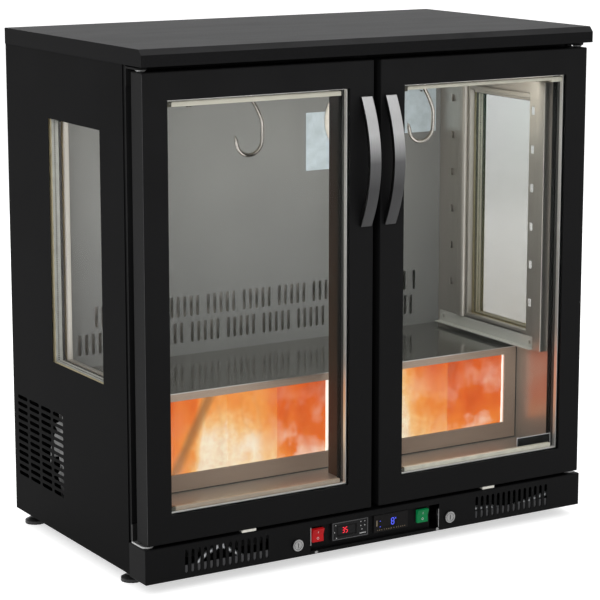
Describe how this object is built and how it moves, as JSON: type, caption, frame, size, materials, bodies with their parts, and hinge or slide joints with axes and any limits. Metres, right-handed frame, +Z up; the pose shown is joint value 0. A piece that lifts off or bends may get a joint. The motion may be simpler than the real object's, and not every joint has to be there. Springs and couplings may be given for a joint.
{
  "type": "dry aging cabinet",
  "caption": "Under-counter dry aging cabinet with double-glazed doors and side windows, a backlit salt wall, meat hooks, shelf pilasters and a base panel with grilles, controls and locks",
  "frame": {"origin": "On the floor under the middle of the cabinet's bounding box, handles included.", "axes": "+X to the right seen from the front, +Y to the back, +Z up; the doors face -Y."},
  "size_m": [0.9, 0.5458, 0.9],
  "materials": {
    "worktop": "dark grey textured coating, satin",
    "painted_steel": "black powder coat, satin",
    "zinc": "zinc-coated steel sheet, matt",
    "foam": "rigid insulating foam",
    "liner": "stainless sheet, fine brushed",
    "stainless": "stainless sheet, bright",
    "mullion": "dark brown-black moulding",
    "glass": "clear toughened glass",
    "cover_grey": "light grey-green coating",
    "aluminium": "mill aluminium",
    "white_plastic": "translucent white",
    "polished": "polished",
    "salt": "translucent orange rock salt",
    "grey_plastic": "dark grey moulding",
    "black_plastic": "black moulding",
    "black_plastic_paint": "black enamel",
    "red_plastic": "translucent red",
    "green_plastic": "translucent green",
    "rubber": "soft magnetic gasket",
    "brushed": "brushed steel, satin"
  },
  "bodies": {
    "cabinet": {"worktop": "worktop", "side_panel_left": "painted_steel", "side_panel_right": "painted_steel", "rear_panel": "painted_steel", "base_plate": "zinc", "insulation": "foam", "inner_liner": "liner", "front_frame": "painted_steel", "centre_mullion": "mullion", "side_glass_outer_left": "glass", "side_glass_inner_left": "glass", "side_glass_outer_right": "glass", "side_glass_inner_right": "glass", "evaporator_cover": "cover_grey", "evaporator": "aluminium", "sensor_cover": "white_plastic", "hanging_rail": "stainless", "salt_frame": "stainless", "salt_wall": "salt", "salt_backlight": "white_plastic", "lamp_left": "white_plastic", "lamp_right": "white_plastic", "pilaster_front_left": "stainless", "pilaster_front_right": "stainless", "pilaster_rear_left": "stainless", "pilaster_rear_right": "stainless", "shelf_runner_left": "stainless", "shelf_runner_right": "stainless", "base_panel": "painted_steel", "control_plate": "painted_steel", "humidity_controller": "grey_plastic", "temperature_controller": "black_plastic", "compressor": "black_plastic_paint", "condenser": "aluminium", "hinge_lower_left": "stainless", "hinge_lower_right": "stainless", "hinge_upper_left": "stainless", "hinge_upper_right": "stainless"},
    "left_door": {"door_frame_left": "painted_steel", "door_glass_front_left": "glass", "door_glass_rear_left": "glass", "door_gasket_left": "rubber", "door_handle_left": "brushed"},
    "right_door": {"door_frame_right": "painted_steel", "door_glass_front_right": "glass", "door_glass_rear_right": "glass", "door_gasket_right": "rubber", "door_handle_right": "brushed"},
    "red_switch": {"rocker_red": "red_plastic"},
    "green_switch": {"rocker_green": "green_plastic"},
    "left_lock": {"lock_left": "polished"},
    "right_lock": {"lock_right": "polished"},
    "cooling_fan": {"condenser_fan": "aluminium"},
    "air_fan": {"evaporator_fan": "aluminium"},
    "left_hook": {"hook_left": "polished"},
    "right_hook": {"hook_right": "polished"},
    "front_left_foot": {"foot_front_left": "black_plastic"},
    "front_right_foot": {"foot_front_right": "black_plastic"},
    "rear_left_foot": {"foot_rear_left": "black_plastic"},
    "rear_right_foot": {"foot_rear_right": "black_plastic"}
  },
  "joints": [
    {"name": "left_door_hinge", "type": "hinge", "parent": "cabinet", "child": "left_door", "pos_m": [-0.437, -0.21985, 0.474], "axis": [0, 0, -1], "range_deg": [0, 110]},
    {"name": "right_door_hinge", "type": "hinge", "parent": "cabinet", "child": "right_door", "pos_m": [0.437, -0.21985, 0.474], "axis": [0, 0, 1], "range_deg": [0, 110]},
    {"name": "red_rocker", "type": "hinge", "parent": "cabinet", "child": "red_switch", "pos_m": [-0.1145, -0.23055, 0.05225], "axis": [-1, 0, 0], "range_deg": [0, 16]},
    {"name": "green_rocker", "type": "hinge", "parent": "cabinet", "child": "green_switch", "pos_m": [0.103, -0.23055, 0.05225], "axis": [-1, 0, 0], "range_deg": [0, 16]},
    {"name": "left_lock_turn", "type": "hinge", "parent": "cabinet", "child": "left_lock", "pos_m": [-0.158, -0.23915, 0.042], "axis": [0, 1, 0], "range_deg": [0, 90]},
    {"name": "right_lock_turn", "type": "hinge", "parent": "cabinet", "child": "right_lock", "pos_m": [0.158, -0.23915, 0.042], "axis": [0, -1, 0], "range_deg": [0, 90]},
    {"name": "cooling_fan_spin", "type": "hinge", "parent": "cabinet", "child": "cooling_fan", "pos_m": [-0.4103, 0.11285, 0.15], "axis": [1, 0, 0], "continuous": true},
    {"name": "air_fan_spin", "type": "hinge", "parent": "cabinet", "child": "air_fan", "pos_m": [0.15, 0.21825, 0.55], "axis": [0, 1, 0], "continuous": true},
    {"name": "left_hook_swing", "type": "hinge", "parent": "cabinet", "child": "left_hook", "pos_m": [-0.133, -0.03715, 0.8], "axis": [1, 0, 0], "range_deg": [-30, 30]},
    {"name": "right_hook_swing", "type": "hinge", "parent": "cabinet", "child": "right_hook", "pos_m": [0.227, -0.03715, 0.8], "axis": [1, 0, 0], "range_deg": [-30, 30]},
    {"name": "front_left_foot_turn", "type": "hinge", "parent": "cabinet", "child": "front_left_foot", "pos_m": [-0.426, -0.14365, 0.012], "axis": [0, 0, 1], "continuous": true},
    {"name": "front_right_foot_turn", "type": "hinge", "parent": "cabinet", "child": "front_right_foot", "pos_m": [0.426, -0.14365, 0.012], "axis": [0, 0, 1], "continuous": true},
    {"name": "rear_left_foot_turn", "type": "hinge", "parent": "cabinet", "child": "rear_left_foot", "pos_m": [-0.426, 0.24085, 0.012], "axis": [0, 0, 1], "continuous": true},
    {"name": "rear_right_foot_turn", "type": "hinge", "parent": "cabinet", "child": "rear_right_foot", "pos_m": [0.426, 0.24085, 0.012], "axis": [0, 0, 1], "continuous": true}
  ]
}
